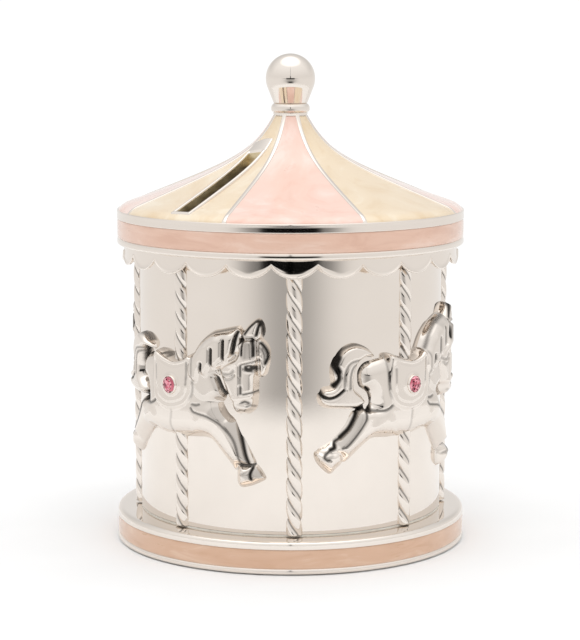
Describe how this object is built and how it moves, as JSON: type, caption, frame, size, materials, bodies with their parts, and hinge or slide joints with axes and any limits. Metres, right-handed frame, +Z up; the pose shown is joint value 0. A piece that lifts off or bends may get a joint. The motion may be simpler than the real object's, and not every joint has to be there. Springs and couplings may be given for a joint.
{
  "type": "carousel music box",
  "caption": "Silver-plated carousel musical money box: enamelled roof with coin slot, horse relief drum turning on a clockwork movement in a round plinth.",
  "frame": {"origin": "centre of the round base pad, on the surface the box stands on", "axes": "+Z up along the carousel's turning axis, -Y towards the side that the coin slot runs down, +X to its right"},
  "size_m": [0.1012, 0.1012, 0.1401],
  "materials": {
    "silver": "polished silver plate",
    "peach_enamel": "pearl enamel, gloss",
    "pink_enamel": "pearl enamel, gloss",
    "ivory_enamel": "pearl enamel, gloss",
    "rose_crystal": "cut and polished",
    "steel": "zinc plated",
    "comb_steel": "ground",
    "spring_steel": "blued",
    "zinc_casting": "as cast",
    "brass": "polished",
    "nylon": "satin",
    "felt": "felt"
  },
  "bodies": {
    "base": {"plinth": "silver", "plinth_enamel": "peach_enamel", "base_plate": "steel", "base_pad": "felt", "base_plate_screws": "steel", "glide_ring": "nylon", "movement_bedplate": "zinc_casting", "movement_screws": "steel", "comb": "comb_steel", "comb_screws": "steel", "governor_frame": "steel", "click_spring": "spring_steel"},
    "winding": {"winding_key": "brass", "winding_arbor": "steel"},
    "carousel": {"great_wheel": "brass", "spring_barrel": "steel", "mainspring": "spring_steel", "barrel_cover": "steel", "drive_hub": "nylon", "drum_shell": "silver", "drum_floor": "silver", "floor_screws": "steel", "saddle_crystals": "rose_crystal", "crystal_bezels": "silver", "pole_1": "silver", "pole_2": "silver", "pole_3": "silver", "pole_4": "silver", "pole_5": "silver", "pole_6": "silver", "pole_7": "silver", "pole_8": "silver", "horse_1": "silver", "horse_2": "silver", "horse_3": "silver", "horse_4": "silver"},
    "tune_cylinder": {"cylinder_arbor": "steel", "tune_cylinder": "brass", "tune_pins": "steel", "cylinder_gear": "brass"},
    "governor": {"governor_arbor": "steel", "governor_worm_wheel": "nylon"},
    "fan": {"governor_worm": "steel", "governor_fan": "nylon"},
    "roof": {"roof_shell": "silver", "slot_frame": "silver", "fascia_enamel": "peach_enamel", "valance": "silver", "roof_gasket": "felt", "finial_collar": "silver", "finial_ball": "silver", "finial_stud": "steel", "pink_panel_1": "pink_enamel", "pink_panel_2": "pink_enamel", "pink_panel_3": "pink_enamel", "pink_panel_4": "pink_enamel", "ivory_panel_1": "ivory_enamel", "ivory_panel_2": "ivory_enamel", "ivory_panel_3": "ivory_enamel", "ivory_panel_4": "ivory_enamel"}
  },
  "joints": [
    {"name": "carousel_turn", "type": "hinge", "parent": "base", "child": "carousel", "pos_m": [0, 0, 0.0225], "axis": [0, 0, 1], "continuous": true},
    {"name": "key_wind", "type": "hinge", "parent": "base", "child": "winding", "pos_m": [0, 0, 0.013], "axis": [0, 0, 1], "continuous": true},
    {"name": "cylinder_turn", "type": "hinge", "parent": "base", "child": "tune_cylinder", "pos_m": [0.0262, 0, 0.0235], "axis": [1, 0, 0], "continuous": true},
    {"name": "governor_turn", "type": "hinge", "parent": "base", "child": "governor", "pos_m": [0.0262, 0.01125, 0.0235], "axis": [1, 0, 0], "continuous": true},
    {"name": "fan_spin", "type": "hinge", "parent": "base", "child": "fan", "pos_m": [0.024, 0.01585, 0.0235], "axis": [0, 0, 1], "continuous": true},
    {"name": "roof_lift", "type": "slide", "parent": "carousel", "child": "roof", "axis": [0, 0, 1], "range_m": [0, 0.03]}
  ],
  "couplings": [
    {"joint": "cylinder_turn", "follows": "carousel_turn", "ratio": 3},
    {"joint": "governor_turn", "follows": "carousel_turn", "ratio": -12},
    {"joint": "fan_spin", "follows": "carousel_turn", "ratio": 144}
  ]
}
